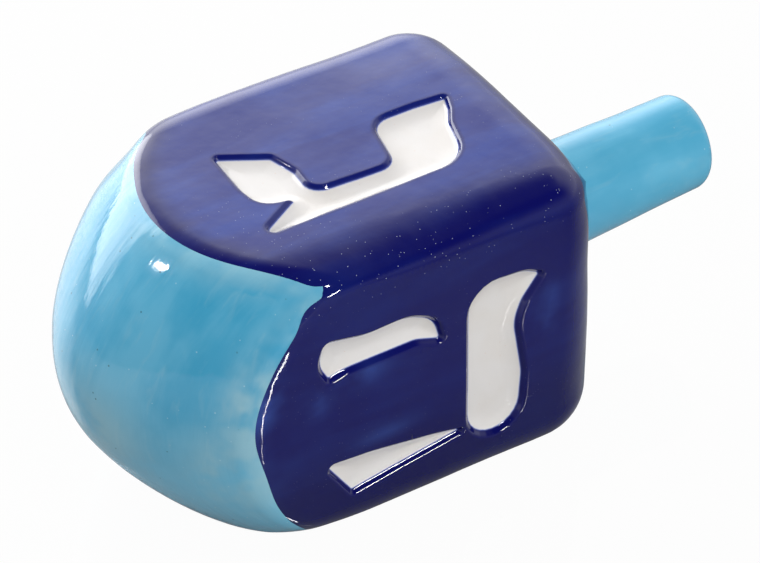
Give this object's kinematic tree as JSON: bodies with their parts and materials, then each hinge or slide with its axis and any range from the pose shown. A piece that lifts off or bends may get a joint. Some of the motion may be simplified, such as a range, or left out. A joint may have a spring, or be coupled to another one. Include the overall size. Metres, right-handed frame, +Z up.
{
  "type": "dreidel",
  "caption": "Large hollow ceramic spinning top with a square body, a lettered recess on each face, a rounded tip and a plain round handle.",
  "frame": {"origin": "on the table, under the middle of the bounding box, with the toy lying on its shin face", "axes": "+X along the spin axis from the tip to the end of the handle, +Z up through the gimel face, -Y towards the viewer through the hey face"},
  "size_m": [0.1408, 0.064, 0.064],
  "materials": {
    "cobalt_glaze": "hand-brushed dark blue under a clear gloss glaze",
    "turquoise_glaze": "hand-brushed light blue under a clear gloss glaze",
    "white_glaze": "bare white clay under a clear gloss glaze"
  },
  "bodies": {
    "root": {"body_casting": "cobalt_glaze", "tip_casting": "turquoise_glaze", "handle_casting": "turquoise_glaze", "hey_inlay": "white_glaze", "gimel_inlay": "white_glaze", "nun_inlay": "white_glaze", "shin_inlay": "white_glaze"}
  },
  "joints": []
}
